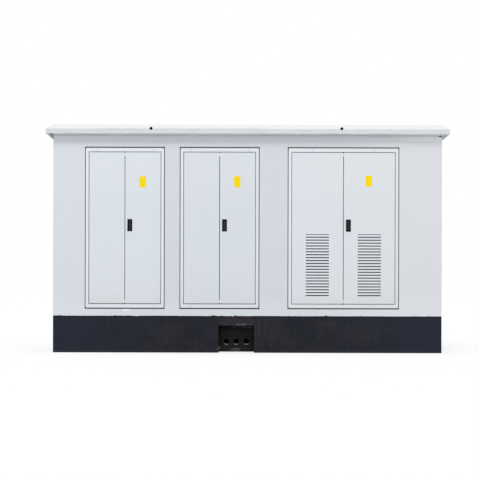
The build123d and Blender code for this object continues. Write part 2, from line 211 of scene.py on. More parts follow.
class JointSettings(bpy.types.PropertyGroup):
    side_width: length("Side width", "Width of the groove beside a door frame", 0.010, 0.002, 0.05)
    end_width: length("End width", "Width of the groove over and under a door frame", 0.014, 0.002, 0.05)
    groove_depth: length("Groove depth", "Depth of the groove round a door frame", 0.030, 0.005, 0.1)
    bead_depth: length("Bead depth", "How far the sealant lies behind the wall's face", 0.019, 0.002, 0.1)
    cap_length: length("Cap length", "Length of the caps at the ends of a door's seam", 0.036, 0.005, 0.2)
    cap_inset: length("Cap inset", "From the end of the leaves to a cap", 0.009, 0.0, 0.1)
    cap_clearance: length("Cap clearance", "Between a cap and the left leaf", 0.0006, 0.0003, 0.01)


class StudioSettings(bpy.types.PropertyGroup):
    sun_strength: amount("Key light", "Strength of the soft key light", 1.30, 20.0)
    sun_softness: angle("Softness", "Apparent width of the key light", 26, 0.0, 3.1)
    sun_height: angle("Key height", "Angle of the key light above the ground", 57, 0.0, 1.57)
    sun_side: angle("Key side", "How far the key light stands to the left of the camera", 10, -3.1, 3.1)
    sky_strength: amount("Fill light", "Strength of the even light all round", 0.72, 10.0)
    floor_bounce: amount("Floor bounce", "Share of light that the floor sends back up", 0.80, 1.0, "FACTOR")
    floor_shadow: amount("Floor shadow", "How strongly the floor shows the shadow", 0.35, 1.0, "FACTOR")
    floor_size: length("Floor size", "Side of the square floor", 400.0, 10.0, 2000.0)
    camera_distance: length("Camera distance", "From the front wall to the camera", 9.0, 1.0, 100.0)
    camera_height: length("Camera height", "From the ground to the camera", 0.63, 0.0, 20.0)
    camera_roll: angle("Camera roll", "How far the camera leans to its left", 0.14, -0.2, 0.2)


SETTINGS = {
    "wall": WallSettings,
    "plinth": PlinthSettings,
    "roof": RoofSettings,
    "doors": DoorSettings,
    "fittings": FittingSettings,
    "joints": JointSettings,
    "screws": ScrewSettings,
    "plates": PlateSettings,
    "studio": StudioSettings,
}


class SubstationSettings(bpy.types.PropertyGroup):
    __annotations__ = {
        name: PointerProperty(type=kind, name=name.capitalize(), description=f"Sizes and colours: {name}")
        for name, kind in SETTINGS.items()
    }


class Tree:
    """A node tree that is filled one node at a time."""

    def __init__(self, tree):
        self.tree = tree
        tree.nodes.clear()

    def node(self, kind, settings=None, sockets=None):
        """Adds a node of any kind: its settings go in first, then its sockets."""
        made = self.tree.nodes.new(kind)
        for name, value in (settings or {}).items():
            setattr(made, name, value)
        self.fill(made, sockets or {})
        return made

    def fill(self, made, sockets):
        """Gives a node's sockets their values or links."""
        for key, value in sockets.items():
            socket = made.inputs[key]
            if isinstance(value, Level):
                value = value.socket
            if isinstance(value, bpy.types.NodeSocket):
                self.tree.links.new(value, socket)
            elif socket.type == "RGBA" and len(value) == 3:
                socket.default_value = (*value, 1.0)
            else:
                socket.default_value = value

    def math(self, operation, first, second):
        """The output of one Math node."""
        return self.node("ShaderNodeMath", {"operation": operation}, {0: first, 1: second}).outputs[0]


def sum_by(operation, turned=False):
    """A method that adds one Math node. Where turned, the level is its second number."""

    def work(self, other):
        first, second = (other, self) if turned else (self, other)
        return Level(self.tree, self.tree.math(operation, first, second))

    return work


class Level:
    """A number that changes over a surface. A sum on it adds its Math node, and | takes the larger."""

    __add__ = sum_by("ADD")
    __radd__ = sum_by("ADD", turned=True)
    __sub__ = sum_by("SUBTRACT")
    __rsub__ = sum_by("SUBTRACT", turned=True)
    __mul__ = sum_by("MULTIPLY")
    __rmul__ = sum_by("MULTIPLY", turned=True)
    __truediv__ = sum_by("DIVIDE")
    __rtruediv__ = sum_by("DIVIDE", turned=True)
    __or__ = sum_by("MAXIMUM")
    __ror__ = sum_by("MAXIMUM", turned=True)

    def __init__(self, tree, socket):
        self.tree, self.socket = tree, socket

    def __abs__(self):
        return Level(self.tree, self.tree.math("ABSOLUTE", self, 0.0))

    def rise(self, low, high):
        """0 up to low, 1 from high, and smooth between them. It falls where low is above high."""
        settings = {"interpolation_type": "SMOOTHSTEP", "clamp": True}
        made = self.tree.node("ShaderNodeMapRange", settings, {0: self, 1: low, 2: high})
        return Level(self.tree, made.outputs[0])


def largest(levels):
    """The largest of several levels, place by place."""
    most, *others = levels
    for level in others:
        most = most | level
    return most


class Finish(Tree):
    """A material whose patterns all lie in the substation's own metres."""

    def __init__(self, name, shine=0.5, metal=0.0):
        self.material = bpy.data.materials.get(name) or bpy.data.materials.new(name)
        self.material.use_nodes = True
        super().__init__(self.material.node_tree)
        constants = {"Specular IOR Level": shine, "Metallic": metal}
        self.shader = self.node("ShaderNodeBsdfPrincipled", {}, constants)
        self.node("ShaderNodeOutputMaterial", {}, {"Surface": self.shader.outputs[0]})
        self.place = self.node("ShaderNodeTexCoord").outputs["Object"]
        apart = self.node("ShaderNodeSeparateXYZ", {}, {0: self.place})
        self.x, self.y, self.z = (Level(self, socket) for socket in apart.outputs)

    def facing(self):
        """How far a face points up: 1 on top, 0 on a wall, -1 below."""
        normal = self.node("ShaderNodeNewGeometry").outputs["Normal"]
        return Level(self, self.node("ShaderNodeSeparateXYZ", {}, {0: normal}).outputs["Z"])

    def noise(self, size, detail=2.0, stretch=(1.0, 1.0, 1.0), shift=0.0, roughness=0.5):
        """Cloudy noise round 0, from about -0.5 to 0.5, with forms about size metres across."""
        place = self.place
        if stretch != (1.0, 1.0, 1.0) or shift:
            sockets = {"Vector": place, "Location": (shift, shift, shift), "Scale": stretch}
            place = self.node("ShaderNodeMapping", {"vector_type": "POINT"}, sockets).outputs[0]
        sockets = {"Vector": place, "Scale": 1 / size, "Detail": detail, "Roughness": roughness}
        made = self.node("ShaderNodeTexNoise", {"noise_dimensions": "3D"}, sockets)
        return Level(self, made.outputs[0]) - 0.5

    def cells(self, scale):
        """A cell pattern: how far a place is from its cell's middle, and the cell's own random level."""
        made = self.node("ShaderNodeTexVoronoi", {}, {"Vector": self.place, "Scale": scale}).outputs
        chance = self.node("ShaderNodeSeparateColor", {}, {0: made["Color"]}).outputs[0]
        return Level(self, made["Distance"]), Level(self, chance)

    def specks(self, size, radius, share):
        """Round specks in some of the cells of a cell pattern: 1 in a speck, 0 elsewhere."""
        distance, chance = self.cells(1 / size)
        return distance.rise(radius / size, 0.5 * radius / size) * chance.rise(1 - share, 1.02 - share)

    def spot(self, x, z, wide, high, ragged):
        """A ragged oval on the front: 1 inside, 0 outside."""
        across, up = (self.x - x) / wide, (self.z - z) / high
        return (across * across + up * up + ragged).rise(1.0, 0.6)

    def mix(self, share, first, second):
        """One colour laid over another by a share."""
        made = self.node("ShaderNodeMix", {"data_type": "RGBA"}, {0: share, 6: first, 7: second})
        return made.outputs[2]

    def shade(self, colour, light):
        """A colour made lighter or darker by a level round 1."""
        made = self.node("ShaderNodeVectorMath", {"operation": "SCALE"}, {0: colour, "Scale": light})
        return made.outputs[0]

    def lay(self, colour, roughness, height):
        """Joins the colour, the roughness and the height in metres to the shader."""
        bump = self.node("ShaderNodeBump", {}, {"Strength": 1.0, "Distance": 1.0, "Height": height})
        self.fill(self.shader, {"Base Color": colour, "Roughness": roughness, "Normal": bump.outputs[0]})
        return self.material


def paint_line(finish, wall):
    """The height of the wandering line between the plinth's dark coat and the wall's paint."""
    sway = finish.noise(0.35, 2) * 2.0 + finish.noise(0.02, 2) * 0.7
    nicks = finish.noise(0.09, 3, shift=4.5).rise(0.04, 0.22)
    nicks = nicks - finish.noise(0.06, 2, shift=7.7).rise(0.12, 0.3)
    return PLINTH_TOP + wall.edge_rise + wall.edge_sway * (sway + nicks * 1.7 - 0.3)


def painted_gap_shade(finish):
    """Painted shade of the gap where the joint under the roof has opened at the housing's right-hand
    corner.
    """
    ragged = finish.noise(0.012, 3, roughness=0.7) * 1.5
    gap = finish.spot(WALL_RIGHT - 0.022, WALL_TOP + 0.002, 0.024, 0.011, ragged)
    return gap * finish.y.rise(FRONT + 0.02, FRONT)


def painted_groove_shade(finish):
    """Painted shade in the grooves round the door frames, and in a thin line on the wall beside them."""
    lines = []
    for low, high in FRAMES:
        beside = abs(finish.x - (low.x + high.x) / 2) - (high.x - low.x) / 2
        above = abs(finish.z - (low.z + high.z) / 2) - (high.z - low.z) / 2
        lines.append((beside + 0.003 | above - 0.002).rise(0.009, 0.001))
    in_groove = finish.y.rise(FRONT + 0.001, FRONT + 0.005)
    return largest(lines) * (0.2 + in_groove * 0.2) * finish.y.rise(FRONT + 0.05, FRONT + 0.04)


def wall_finish(wall, plinth):
    """Sand-grained masonry paint over trowelled concrete, with rain marks, dust and air pits."""
    made = Finish("wall_paint", 0.25)
    clouds = made.noise(1.3, 3)
    mottle = made.noise(0.11, 4, roughness=0.6)
    grain = made.noise(0.005, 3, roughness=0.7)
    roller = made.noise(0.022, 3, (1.0, 1.0, 0.4), roughness=0.6)
    runs = made.noise(0.07, 3, (1.0, 1.0, 0.045), 3.1)
    pits = made.specks(0.045, wall.pit_size, 0.3)
    under_roof = made.z.rise(WALL_TOP - 0.45, WALL_TOP)
    splash = (made.z + mottle * 0.12).rise(PLINTH_TOP + 0.14, PLINTH_TOP)
    front = made.y.rise(FRONT + 0.05, FRONT + 0.01)
    between_doors = abs(made.x + 0.1).rise(2.3, 0.9) * front
    low = made.z.rise(2.2, 0.8) - made.z.rise(0.75, 0.55)
    light = 1.0 + clouds * 0.03 + mottle * 0.045 + roller * 0.04 + grain * 0.06
    # Painted light: the top of the wall's right-hand end is lighter, where the roof's shadow thins.
    painted_light_right_end = made.x.rise(1.75, 2.1) * made.z.rise(WALL_TOP - 0.075, WALL_TOP - 0.045) * front
    light = light - between_doors * 0.045 - low * 0.03 + painted_light_right_end * 0.09
    # Painted shade: a band under the roof's overhang, deeper towards the left.
    painted_overhang_shade = abs(made.z - (WALL_TOP - 0.073)).rise(0.036, 0.018) * front
    batch = (made.x + clouds * 0.8).rise(0.2, 2.6)
    colour = made.shade(made.mix(batch, wall.paint, wall.warm_paint), light)
    # Rain marks, splash dust and air pits are grime; the band under the overhang is painted shade.
    stain_and_shade = runs.rise(0.05, 0.4) * (0.02 + under_roof * 0.03)
    stain_and_shade = stain_and_shade + splash * mottle.rise(-0.1, 0.2) * 0.06 + pits * 0.4
    stain_and_shade = stain_and_shade + painted_overhang_shade * (0.03 + made.x.rise(1.6, -1.8) * 0.06)
    colour = made.mix(stain_and_shade, colour, wall.grime_and_shade)
    # Painted shade in the grooves round the door frames and in a thin line beside them.
    colour = made.mix(painted_groove_shade(made) * (0.9 + mottle), colour, chip(84, 89, 96))
    ragged = made.noise(0.022, 4, (1.0, 1.0, 1.6), 2.5, 0.7) * 2.6 - 0.1
    dab = made.spot(DAB_X, DAB_Z, 0.044, 0.012, ragged) * front
    colour = made.mix(dab * 0.85, colour, chip(244, 247, 250))
    # Painted shade: the dark of the opened joint at the right-hand corner.
    colour = made.mix(painted_gap_shade(made), colour, chip(24, 24, 26))
    dark = (made.z - paint_line(made, wall)).rise(0.0008, -0.0008)
    colour = made.mix(dark, colour, plinth.paint)
    height = grain * wall.grain_depth + roller * wall.wave_depth
    height = height + made.noise(0.4, 2) * wall.wave_depth * 3.0 - pits * 0.0011 + dark * 0.0003
    return made.lay(colour, 0.78 + mottle * 0.15, height)


def plinth_finish(wall, plinth):
    """A thick dark coat, patchy and dusty, with scuffs and chips round the cable niche."""
    made = Finish("plinth_coat", 0.13)
    patches = made.noise(0.42, 4, roughness=0.6)
    drag = made.noise(0.10, 3, (0.35, 0.35, 1.0), 5.7)
    mottle = made.noise(0.045, 4, roughness=0.7)
    grain = made.noise(0.003, 2)
    colour = made.mix((patches * 1.6 + drag * 0.7 + 0.5).rise(0.25, 0.85), plinth.paint, plinth.faded)
    under_line = (made.z + drag * 0.02).rise(PLINTH_TOP - 0.03, PLINTH_TOP)
    brush = made.noise(0.02, 3, (1.0, 1.0, 0.12), 3.3, 0.6)
    front = made.y.rise(FRONT + 0.03, FRONT + 0.01)
    middle = abs(made.x + 0.02 + patches * 0.5).rise(1.35, 0.85) * front
    colour = made.mix(abs(made.x).rise(1.2, 2.2) * front * 0.7, colour, chip(33, 36, 51))
    light = 1.0 + mottle + brush * 0.5 + grain * 0.4 - under_line * 0.25 - middle * 0.15
    colour = made.shade(colour, light)
    ground_dust = (made.z + patches * 0.08).rise(0.07, 0.0)
    dust = ground_dust * 0.02 + made.noise(0.05, 5, roughness=0.75, shift=9.0).rise(0.12, 0.4) * 0.06
    colour = made.mix(dust, colour, plinth.dust)
    run = abs(made.x - (NICHE_MIDDLE + 0.281) + drag * 0.02).rise(0.022, 0.004)
    run = run * abs(made.z - 0.33).rise(0.15, 0.05)
    colour = made.mix(run * front * 0.03, colour, plinth.dust)
    rubbed = made.spot(NICHE_MIDDLE + 0.02, NICHE_TOP + 0.05, 0.27, 0.075, patches)
    colour = made.mix(rubbed * front * (0.035 + mottle * 0.05), colour, chip(150, 138, 134))

    # Cables have been dragged over the niche's upper edge, and its lower left corner is knocked.
    ragged = made.noise(0.012, 3, roughness=0.7) * 2.6 + 0.2
    bits = made.noise(0.011, 4, (0.45, 1.0, 1.0), 6.4, 0.7)
    row = made.spot(NICHE_MIDDLE + 0.035, NICHE_TOP + 0.016, 0.085, 0.018, made.noise(0.05, 2))
    trail = made.spot(NICHE_MIDDLE + 0.11, NICHE_TOP + 0.015, 0.11, 0.014, made.noise(0.05, 2))
    scuffs = row * bits.rise(0.0, 0.12) * 0.6 | trail * bits.rise(0.02, 0.14) * 0.35
    knock = made.spot(NICHE_LEFT - 0.002, 0.050, 0.012, 0.024, ragged)
    knock = knock * made.noise(0.008, 4, shift=5.0).rise(-0.06, 0.05)
    chips = (scuffs | knock * 0.75) * front
    colour = made.mix(chips, colour, plinth.bare)
    pale = (made.z - paint_line(made, wall)).rise(-0.0008, 0.0008)
    colour = made.mix(pale, colour, wall.paint)
    height = grain * 0.00025 + mottle * 0.0006 + made.noise(0.3, 2) * 0.0018
    height = height - chips * 0.0012 - pale * 0.0003
    return made.lay(colour, 0.62 + mottle * 0.25 + dust * 1.2, height)


def niche_finish(plinth):
    """The same coat inside the niche: brown with damp and dust, and painted shade in its corners and under
    its top.
    """
    made = Finish("niche_coat", 0.08)
    clouds = made.noise(0.12, 3, shift=8.0)
    mottle = made.noise(0.03, 5, roughness=0.7)
    grain = made.noise(0.003, 2)
    across = made.x - NICHE_MIDDLE
    brown = (made.noise(0.1, 2) * 0.3 - across).rise(-0.10, 0.06)
    painted_corner_shade = abs(across).rise(0.185, 0.215)
    top = (made.z + clouds * 0.04).rise(NICHE_TOP - 0.10, NICHE_TOP - 0.06)
    colour = made.mix(brown * 0.5, plinth.niche, chip(44, 42, 36))
    # Painted shade: darker beside the niche's side walls and under its top.
    light = 1.25 + clouds * 0.8 + mottle * 1.4 + grain * 0.4 - painted_corner_shade * 0.55 - top * 0.35
    colour = made.shade(colour, light)
    low = made.z.rise(0.07, 0.01)
    crumbs = made.noise(0.014, 4, roughness=0.8, shift=2.0)
    under_top = made.z.rise(NICHE_TOP - 0.055, NICHE_TOP - 0.04) * across.rise(-0.10, 0.0)
    bits = made.noise(0.008, 4, shift=5.0, roughness=0.75).rise(-0.03, 0.06)
    heap = made.spot(NICHE_MIDDLE - 0.01, 0.026, 0.06, 0.024, crumbs * 3.0)
    scraps = crumbs.rise(0.08, 0.22) * (0.06 + low * 0.4 + under_top * 0.6) | heap * bits * 0.8
    dashes = abs(made.z - (NICHE_TOP - 0.032)).rise(0.014, 0.004) * across.rise(-0.09, 0.0)
    scraps = scraps | dashes * made.noise(0.03, 3, shift=3.0).rise(-0.05, 0.1) * 0.4
    scraps = scraps | made.spot(NICHE_LEFT + 0.012, 0.052, 0.016, 0.030, crumbs * 4.0) * bits * 0.8
    colour = made.mix(scraps + made.facing().rise(0.3, 0.9) * 0.12, colour, plinth.dust)
    return made.lay(colour, 0.8 + mottle * 0.2, grain * 0.0003 + mottle * 0.0015)


def bore_reach(finish, outside, inside):
    """1 near the lifting sockets' middle lines and 0 past them, by shares of a socket's outer radius."""
    reaches = []
    for x in (SLEEVE_LOW.x + SLEEVE_RADIUS, SLEEVE_HIGH.x - SLEEVE_RADIUS):
        across, up = finish.x - x, finish.z - (SLEEVE_LOW.z + SLEEVE_RADIUS)
        square = (across * across + up * up) / SLEEVE_RADIUS**2
        reaches.append(square.rise(outside**2, inside**2))
    return largest(reaches)


def roof_finish(roof):
    """Painted slab: smeared fascia with smudged edges, and a brushed top greyed by standing water."""
    made = Finish("roof_paint", 0.25)
    clouds = made.noise(0.6, 4)
    mottle = made.noise(0.07, 5, roughness=0.7)
    grain = made.noise(0.005, 3, roughness=0.7)
    up = made.facing()
    top = up.rise(0.93, 0.99)
    fascia = up.rise(0.3, 0.1)
    slope = up.rise(0.3, 0.6)
    smear = made.noise(0.16, 4, shift=4.0, roughness=0.65)
    strokes = made.noise(0.035, 3, (0.16, 0.16, 1.0), 5.0, 0.6)
    drip = made.noise(0.05, 3, (0.3, 0.3, 1.0), 11.0)
    low_edge = (made.z + drip * 0.05).rise(ROOF_LOW.z + 0.014, ROOF_LOW.z + 0.002)
    under = up.rise(-0.3, -0.9)
    seen = 1.0 - under
    # Painted shade: the soffit is darkened at its left-hand corner beside the wall.
    corner = abs(made.x + WALL_RIGHT + 0.01).rise(0.038, 0.018)
    corner = corner * made.y.rise(FRONT + 0.5, FRONT + 0.2) * under
    runs = made.noise(0.05, 3, (1.0, 1.0, 0.12), 7.0).rise(0.04, 0.3) * up.rise(0.8, 0.2)
    tide = made.noise(0.9, 3, shift=2.0)
    ponds = (tide + mottle * 0.35).rise(0.0, 0.3)
    rings = abs(tide - 0.03 + mottle * 0.06).rise(0.02, 0.0)
    lichen = made.specks(0.07, 0.011, 0.3)
    light = 1.0 + clouds * 0.03 + mottle * (0.03 + top * 0.10) + grain * 0.05
    # Painted highlight: the slopes are made lighter, as light from above falls on them.
    light = light + fascia * seen * (strokes * 0.34 + 0.01) + slope * (0.10 + mottle * 0.08)
    light = light + under * (made.noise(0.3, 4, shift=6.0, roughness=0.65) * 0.85 - 0.08)
    colour = made.shade(made.mix(slope * 0.5, roof.paint, roof.washed), light)
    on_top = top * (0.22 + ponds * 0.20 + rings * 0.05 + lichen * 0.25)
    edge = abs(made.z - (ROOF_LOW.z + FASCIA_HEIGHT) + drip * 0.008).rise(0.016, 0.004)
    edge = edge * abs(made.x + 0.85).rise(1.15, 0.9) * made.y.rise(0.0, ROOF_LOW.y)
    stain = on_top + edge * 0.2 + low_edge * seen * 0.35 + runs * 0.05
    stain = stain + made.specks(0.05, 0.002, 0.3) * 0.4
    colour = made.mix(stain, colour, roof.stain)
    colour = made.mix(corner * 0.7, colour, chip(70, 75, 82))

    # Painted shade: the ends of the cast-in sockets' bores are painted near black.
    inside = abs(made.y).rise(ROOF_HIGH.y - 0.02, ROOF_HIGH.y - 0.03) * fascia
    colour = made.mix(bore_reach(made, 1.3, 1.1) * inside, colour, chip(10, 10, 10))
    brushed = made.noise(0.008, 3, (0.15, 1.0, 1.0), 1.0)
    height = grain * 0.0006 + brushed * top * 0.0014 + mottle * 0.0015 + smear * 0.0016
    return made.lay(colour, 0.8 + mottle * 0.15, height)


def coated_metal(name, coat, doors, spread=1.0, recess=0.0, recess_shade_share=0.9, stop=False):
    """Satin powder coat over thin sheet, with dust low down and wear round the handles.

    Painted shade darkens what lies deeper than recess behind the wall's face, by the share that the
    next argument gives, and with stop in the gap under the leaves as well.
    """
    made = Finish(name, 0.3)
    clouds = made.noise(0.7, 2)
    mottle = made.noise(0.05, 3)
    peel = made.noise(0.0022, 1)
    wave = made.noise(0.30, 2, (1.0, 1.0, 0.6))
    runs = made.noise(0.035, 3, (1.0, 1.0, 0.05), 2.0)
    low = made.z.rise(1.5, 0.55)
    foot = (made.z + mottle * 0.1).rise(0.78, 0.58)
    hands = largest(made.spot(centre.x, centre.z - 0.03, 0.09, 0.16, mottle * 2.0) for centre in HANDLES)
    shaded = abs(made.x + 0.35).rise(0.95, 0.45)
    colour = made.mix(made.x.rise(0.3, 1.6) * 0.5, coat, doors.aged)
    colour = made.shade(colour, 1.0 + (clouds * 0.014 + mottle * 0.012) * spread - shaded * 0.03)
    # The doors turn darker and bluer towards the bottom.
    colour = made.mix((made.z + clouds * 0.3).rise(2.35, 1.7) * 0.065, colour, doors.low_tint)
    dust = (low * 0.07 + foot * 0.07 + runs.rise(0.05, 0.35) * (0.03 + low * 0.06) + hands * 0.03) * spread
    colour = made.mix(dust, colour, doors.dust)
    if recess:
        # Painted shade on the louvres' slopes, behind their lips, and inside the frames.
        depth = -FRONT - abs(made.y) + mottle * 0.0008
        inside = depth.rise(recess, recess + 0.003) * depth.rise(0.036, 0.033)
        painted_recess_shade = inside * (recess_shade_share - made.x.rise(1.1, 1.3) * 0.1)
        if stop:
            # More painted shade lies in the gap under the leaves, darkest at the ends of each door's seam.
            on_stop = made.z.rise(0.64, 0.60) * made.x.rise(0.4, 0.2) * 0.5
            for x, (low_leaf, high_leaf) in zip(SEAMS, LEAVES):
                for z in (low_leaf.z - 0.004, high_leaf.z + 0.004):
                    on_stop = on_stop | made.spot(x, z, 0.013, 0.013, mottle)
            painted_recess_shade = painted_recess_shade | depth.rise(0.0005, 0.0025) * on_stop * 0.95
        colour = made.mix(painted_recess_shade, colour, doors.grime_and_shade)
    else:
        # Painted light: the inside of the middle door's seam is lighter than the others, which thins its
        # shade.
        painted_light_seam = abs(made.x - SEAMS[1]).rise(0.012, 0.008) * made.y.rise(FRONT + 0.001, FRONT + 0.002)
        colour = made.shade(colour, 1.0 + painted_light_seam * 0.35)
    height = peel * doors.peel_depth + wave * doors.sheet_wave
    return made.lay(colour, 0.42 + mottle * 0.10 + dust * 0.8 - hands * 0.06, height)


def handle_finish(name, plastic, shine):
    """Black moulded plastic with a fine leather grain and greyed high spots."""
    made = Finish(name, shine)
    grain = made.noise(0.0011, 2, roughness=0.6)
    mottle = made.noise(0.02, 3)
    wear = (made.noise(0.006, 4, roughness=0.7) + made.facing() * 0.1).rise(0.12, 0.35)
    colour = made.shade(plastic, 1.0 + mottle * 0.35 + grain * 0.3)
    colour = made.mix(wear * 0.06, colour, chip(112, 124, 136))
    return made.lay(colour, 0.46 + mottle * 0.15 + wear * 0.15, grain * 0.00025)


def duct_finish(fittings):
    """Grey pipe plastic, pale where it faces up: partly dust, partly a painted highlight."""
    made = Finish("duct_pipe_plastic", 0.15)
    mottle = made.noise(0.02, 4, roughness=0.65)
    scratches = made.noise(0.003, 3, (1.0, 0.05, 1.0))
    # Up-facing surfaces are paler: partly dust, partly a painted highlight.
    dust = made.facing().rise(0.5, 0.85) * (0.9 + mottle)
    colour = made.shade(fittings.duct, 1.0 + mottle * 0.3 + scratches * 0.2)
    colour = made.mix(dust, colour, chip(214, 212, 208))
    return made.lay(colour, 0.5 + mottle * 0.2 + dust * 0.2, scratches * 0.00015 + mottle * 0.0003)


def galvanised_finish(name, colour, dullness):
    """Zinc on steel, with soft crystal flakes and a dull film."""
    made = Finish(name, metal=0.85)
    flake = made.cells(FLAKES_A_METRE)[1] - 0.5
    film = made.noise(0.012, 4, roughness=0.65)
    grain = made.noise(0.0015, 2)
    tone = made.shade(colour, 1.0 + flake * 0.14 + film * 0.3)
    return made.lay(tone, dullness + flake * 0.1 + film * 0.2, grain * 0.00006)


def sleeve_finish(fittings, paint):
    """Weathered steel sleeves with a trace of the roof's paint outside, and painted shade down their bores.
    """
    made = Finish("sleeve_steel_weathered", 0.2)
    film = made.noise(0.012, 4, roughness=0.65)
    grain = made.noise(0.002, 3, roughness=0.7)
    side = made.facing()
    steel = made.shade(fittings.sleeve, 1.0 + film * 0.8 + grain * 0.5)
    steel = made.mix(film.rise(0.0, 0.3) * 0.5, steel, chip(70, 48, 36))
    colour = made.mix(side.rise(0.2, 0.7) * (film + grain).rise(-0.25, 0.05) * 0.85, steel, paint)
    # Painted shade: near black down the bores.
    colour = made.mix(bore_reach(made, 0.88, 0.80), colour, chip(9, 9, 9))
    return made.lay(colour, 0.75 + film * 0.2, grain * 0.0004)


def seal_finish(fittings):
    """A soft strip under the roof slab, painted over with the walls and grey with dust."""
    made = Finish("seal_paint", 0.2)
    bloom = made.noise(0.05, 4, roughness=0.7)
    grain = made.noise(0.003, 2)
    colour = made.shade(fittings.seal, 1.0 + grain * 0.05)
    colour = made.mix(bloom.rise(-0.1, 0.4) * 0.35, colour, SETTLED_DUST)
    # Painted shade: the dark of the opened joint at the right-hand corner.
    colour = made.mix(painted_gap_shade(made), colour, chip(18, 18, 20))
    return made.lay(colour, 0.85 + bloom * 0.1, grain * 0.0003 + bloom * 0.001)


def sealant_finish(fittings):
    """Grey sealant, tooled smooth and a little dusty."""
    made = Finish("joint_sealant", 0.3)
    bloom = made.noise(0.03, 4, roughness=0.7)
    tooling = made.noise(0.012, 2, (1.0, 1.0, 0.2), 2.0)
    colour = made.shade(fittings.sealant, 1.0 + tooling * 0.2)
    colour = made.mix(bloom.rise(0.0, 0.4) * 0.3, colour, SETTLED_DUST)
    return made.lay(colour, 0.7 + bloom * 0.2, tooling * 0.0008)


def bare_concrete_finish(fittings):
    """Cast grey concrete with cement clouds, sand and air pits."""
    made = Finish("bare_cast_concrete", 0.3)
    clouds = made.noise(0.5, 5, roughness=0.6)
    mottle = made.noise(0.04, 5, roughness=0.7)
    grain = made.noise(0.003, 2)
    pits = made.specks(0.03, 0.003, 0.35)
    colour = made.shade(fittings.concrete, 1.0 + clouds * 0.22 + mottle * 0.16 + grain * 0.14 - pits * 0.4)
    height = grain * 0.0004 + mottle * 0.0012 - pits * 0.002
    return made.lay(colour, 0.85 + mottle * 0.1, height)


def enamel_finish(plates):
    """Yellow enamel on a thin plate, a little faded, chalked and scratched."""
    made = Finish("plate_enamel", 0.12)
    fade = made.noise(0.06, 3)
    scratches = made.noise(0.0016, 4, (1.0, 1.0, 0.08), 3.0, 0.7).rise(0.2, 0.34)
    grain = made.noise(0.0012, 1)
    colour = made.shade(plates.enamel, 1.0 + fade * 0.10)
    colour = made.mix(scratches * 0.06 + fade.rise(0.1, 0.4) * 0.03, colour, chip(240, 232, 190))
    return made.lay(colour, 0.4 + fade * 0.2 + scratches * 0.2, grain * 0.00003 - scratches * 0.00004)


def dress(slot, material, only=None):
    """Gives a finish to the parts that the record names a slot for."""
    parts = [part for part in SLOT_NODES.get(slot, []) if only is None or only in part.name]
    if not parts:
        raise RuntimeError(f"no part of the substation takes the finish {slot}")
    for part in parts:
        part.material_slots[0].material = material


def add_object(name, data):
    """Puts a mesh, a light or a camera in the scene."""
    made = bpy.data.objects.new(name, data)
    bpy.context.scene.collection.objects.link(made)
    return made


def place_piece(name, mesh, body):
    """Puts a finished mesh in the scene, riding on a body of the substation."""
    old = bpy.data.objects.get(name)
    if old:
        bpy.data.objects.remove(old)
    piece = add_object(name, mesh)
    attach(piece, body)
    return piece


